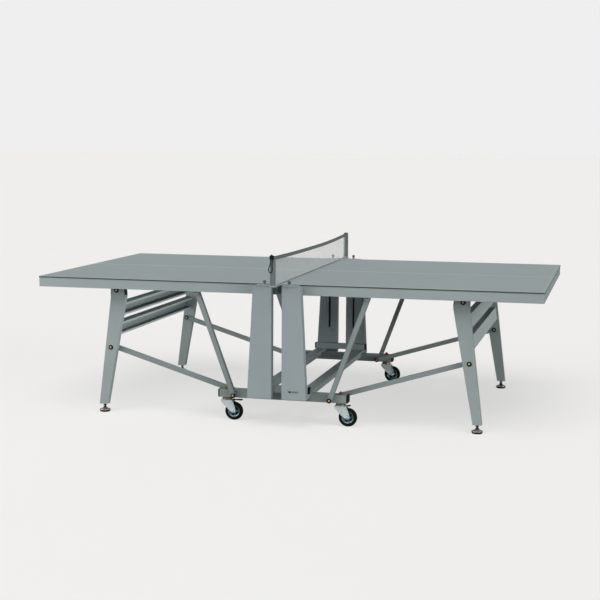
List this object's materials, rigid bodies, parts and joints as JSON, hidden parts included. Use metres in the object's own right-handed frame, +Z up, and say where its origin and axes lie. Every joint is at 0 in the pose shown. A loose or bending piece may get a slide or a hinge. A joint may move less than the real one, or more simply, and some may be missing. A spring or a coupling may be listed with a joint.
{
  "type": "ping pong table",
  "caption": "Outdoor folding ping pong table: two hinged halves on a wheeled base with posts, struts, links, tapered legs, levelling feet and a net.",
  "frame": {"origin": "on the floor under the middle of the net", "axes": "+X along the table's length towards its right end, +Y across to the far side, +Z up"},
  "size_m": [2.74, 1.818, 0.926],
  "materials": {
    "surface": "satin",
    "paint": "satin",
    "zinc": "satin",
    "bolt": "satin",
    "plastic": "matt",
    "tyre": "matt",
    "net": "matt"
  },
  "bodies": {
    "base": {"side_beam_near": "paint", "side_beam_far": "paint", "cross_beam_left": "paint", "cross_beam_right": "paint", "tie_bars": "paint", "post_near_left": "paint", "post_near_right": "paint", "post_far_left": "paint", "post_far_right": "paint", "end_caps": "plastic", "frame_bolts": "bolt", "net_bracket_near": "paint", "net_bracket_far": "paint"},
    "net": {"net_poles": "paint", "net_tapes": "net", "net_mesh": "net", "cord_lock": "plastic", "net_cord": "net"},
    "slide_right": {"slot_pins_right": "bolt"},
    "top_right": {"top_panel_right": "surface", "apron_right": "paint", "top_rails_right": "paint", "hanger_plates_right": "paint", "leg_brackets_right": "paint"},
    "legs_right": {"leg_near_right": "paint", "leg_far_right": "paint", "leg_channels_right": "paint", "leg_trim_right": "bolt"},
    "struts_right": {"struts_right": "paint"},
    "links_right": {"links_right": "paint"},
    "slide_left": {"slot_pins_left": "bolt"},
    "top_left": {"top_panel_left": "surface", "apron_left": "paint", "top_rails_left": "paint", "hanger_plates_left": "paint", "leg_brackets_left": "paint"},
    "legs_left": {"leg_near_left": "paint", "leg_far_left": "paint", "leg_channels_left": "paint", "leg_trim_left": "bolt"},
    "struts_left": {"struts_left": "paint"},
    "links_left": {"links_left": "paint"},
    "foot_near_right": {"foot_near_right": "zinc"},
    "knob_near_right": {"knob_near_right": "paint"},
    "fork_near_right": {"fork_near_right": "zinc"},
    "wheel_near_right": {"wheel_near_right": "tyre"},
    "foot_near_left": {"foot_near_left": "zinc"},
    "knob_near_left": {"knob_near_left": "paint"},
    "fork_near_left": {"fork_near_left": "zinc"},
    "wheel_near_left": {"wheel_near_left": "tyre"},
    "foot_far_right": {"foot_far_right": "zinc"},
    "knob_far_right": {"knob_far_right": "paint"},
    "fork_far_right": {"fork_far_right": "zinc"},
    "wheel_far_right": {"wheel_far_right": "tyre"},
    "foot_far_left": {"foot_far_left": "zinc"},
    "knob_far_left": {"knob_far_left": "paint"},
    "fork_far_left": {"fork_far_left": "zinc"},
    "wheel_far_left": {"wheel_far_left": "tyre"},
    "pedal_near_right": {"pedal_near_right": "plastic"},
    "pedal_near_left": {"pedal_near_left": "plastic"}
  },
  "joints": [
    {"name": "slot_slide_right", "type": "slide", "parent": "base", "child": "slide_right", "axis": [0, 0, 1], "range_m": [-0.41287, 0]},
    {"name": "top_fold_right", "type": "hinge", "parent": "slide_right", "child": "top_right", "pos_m": [0.078, 0, 0.735], "axis": [0, -1, 0], "range_deg": [0, 90]},
    {"name": "leg_fold_right", "type": "hinge", "parent": "top_right", "child": "legs_right", "pos_m": [0.952, 0, 0.684], "axis": [0, -1, 0], "range_deg": [-75.34, 0]},
    {"name": "strut_turn_right", "type": "hinge", "parent": "base", "child": "struts_right", "pos_m": [0.264, 0, 0.144], "axis": [0, -1, 0], "range_deg": [0, 35.06]},
    {"name": "link_turn_right", "type": "hinge", "parent": "base", "child": "links_right", "pos_m": [0.264, 0, 0.144], "axis": [0, -1, 0], "range_deg": [0, 74.84]},
    {"name": "slot_slide_left", "type": "slide", "parent": "base", "child": "slide_left", "axis": [0, 0, 1], "range_m": [-0.41287, 0]},
    {"name": "top_fold_left", "type": "hinge", "parent": "slide_left", "child": "top_left", "pos_m": [-0.078, 0, 0.735], "axis": [0, 1, 0], "range_deg": [0, 90]},
    {"name": "leg_fold_left", "type": "hinge", "parent": "top_left", "child": "legs_left", "pos_m": [-0.952, 0, 0.684], "axis": [0, 1, 0], "range_deg": [-75.34, 0]},
    {"name": "strut_turn_left", "type": "hinge", "parent": "base", "child": "struts_left", "pos_m": [-0.264, 0, 0.144], "axis": [0, 1, 0], "range_deg": [0, 35.06]},
    {"name": "link_turn_left", "type": "hinge", "parent": "base", "child": "links_left", "pos_m": [-0.264, 0, 0.144], "axis": [0, 1, 0], "range_deg": [0, 74.84]},
    {"name": "net_lift", "type": "slide", "parent": "base", "child": "net", "axis": [0, 0, 1], "range_m": [0, 0.18]},
    {"name": "foot_adjust_near_right", "type": "slide", "parent": "legs_right", "child": "foot_near_right", "axis": [0, 0, 1], "range_m": [-0.012, 0.015]},
    {"name": "knob_pull_near_right", "type": "slide", "parent": "base", "child": "knob_near_right", "axis": [0, 0, 1], "range_m": [0, 0.008], "stiffness_N_per_m": 600, "springref_m": -0.01},
    {"name": "caster_swivel_near_right", "type": "hinge", "parent": "base", "child": "fork_near_right", "pos_m": [0.315, -0.668, 0.12], "axis": [0, 0, 1], "continuous": true},
    {"name": "wheel_spin_near_right", "type": "hinge", "parent": "fork_near_right", "child": "wheel_near_right", "pos_m": [0.354, -0.668, 0.05], "axis": [0, 1, 0], "continuous": true},
    {"name": "foot_adjust_near_left", "type": "slide", "parent": "legs_left", "child": "foot_near_left", "axis": [0, 0, 1], "range_m": [-0.012, 0.015]},
    {"name": "knob_pull_near_left", "type": "slide", "parent": "base", "child": "knob_near_left", "axis": [0, 0, 1], "range_m": [0, 0.008], "stiffness_N_per_m": 600, "springref_m": -0.01},
    {"name": "caster_swivel_near_left", "type": "hinge", "parent": "base", "child": "fork_near_left", "pos_m": [-0.315, -0.668, 0.12], "axis": [0, 0, 1], "continuous": true},
    {"name": "wheel_spin_near_left", "type": "hinge", "parent": "fork_near_left", "child": "wheel_near_left", "pos_m": [-0.276, -0.668, 0.05], "axis": [0, 1, 0], "continuous": true},
    {"name": "foot_adjust_far_right", "type": "slide", "parent": "legs_right", "child": "foot_far_right", "axis": [0, 0, 1], "range_m": [-0.012, 0.015]},
    {"name": "knob_pull_far_right", "type": "slide", "parent": "base", "child": "knob_far_right", "axis": [0, 0, 1], "range_m": [0, 0.008], "stiffness_N_per_m": 600, "springref_m": -0.01},
    {"name": "caster_swivel_far_right", "type": "hinge", "parent": "base", "child": "fork_far_right", "pos_m": [0.315, 0.668, 0.12], "axis": [0, 0, 1], "continuous": true},
    {"name": "wheel_spin_far_right", "type": "hinge", "parent": "fork_far_right", "child": "wheel_far_right", "pos_m": [0.354, 0.668, 0.05], "axis": [0, 1, 0], "continuous": true},
    {"name": "foot_adjust_far_left", "type": "slide", "parent": "legs_left", "child": "foot_far_left", "axis": [0, 0, 1], "range_m": [-0.012, 0.015]},
    {"name": "knob_pull_far_left", "type": "slide", "parent": "base", "child": "knob_far_left", "axis": [0, 0, 1], "range_m": [0, 0.008], "stiffness_N_per_m": 600, "springref_m": -0.01},
    {"name": "caster_swivel_far_left", "type": "hinge", "parent": "base", "child": "fork_far_left", "pos_m": [-0.315, 0.668, 0.12], "axis": [0, 0, 1], "continuous": true},
    {"name": "wheel_spin_far_left", "type": "hinge", "parent": "fork_far_left", "child": "wheel_far_left", "pos_m": [-0.276, 0.668, 0.05], "axis": [0, 1, 0], "continuous": true},
    {"name": "brake_right", "type": "hinge", "parent": "fork_near_right", "child": "pedal_near_right", "pos_m": [0.353, -0.668, 0.112], "axis": [0, 1, 0], "range_deg": [0, 12]},
    {"name": "brake_left", "type": "hinge", "parent": "fork_near_left", "child": "pedal_near_left", "pos_m": [-0.277, -0.668, 0.112], "axis": [0, 1, 0], "range_deg": [0, 12]}
  ],
  "couplings": [
    {"joint": "slot_slide_right", "follows": "top_fold_right", "m_per_rad": -0.26024},
    {"joint": "leg_fold_right", "follows": "top_fold_right", "ratio": -0.82886},
    {"joint": "strut_turn_right", "follows": "top_fold_right", "ratio": 0.38567},
    {"joint": "link_turn_right", "follows": "top_fold_right", "ratio": 0.82332},
    {"joint": "slot_slide_left", "follows": "top_fold_left", "m_per_rad": -0.26024},
    {"joint": "leg_fold_left", "follows": "top_fold_left", "ratio": -0.82886},
    {"joint": "strut_turn_left", "follows": "top_fold_left", "ratio": 0.38567},
    {"joint": "link_turn_left", "follows": "top_fold_left", "ratio": 0.82332}
  ]
}
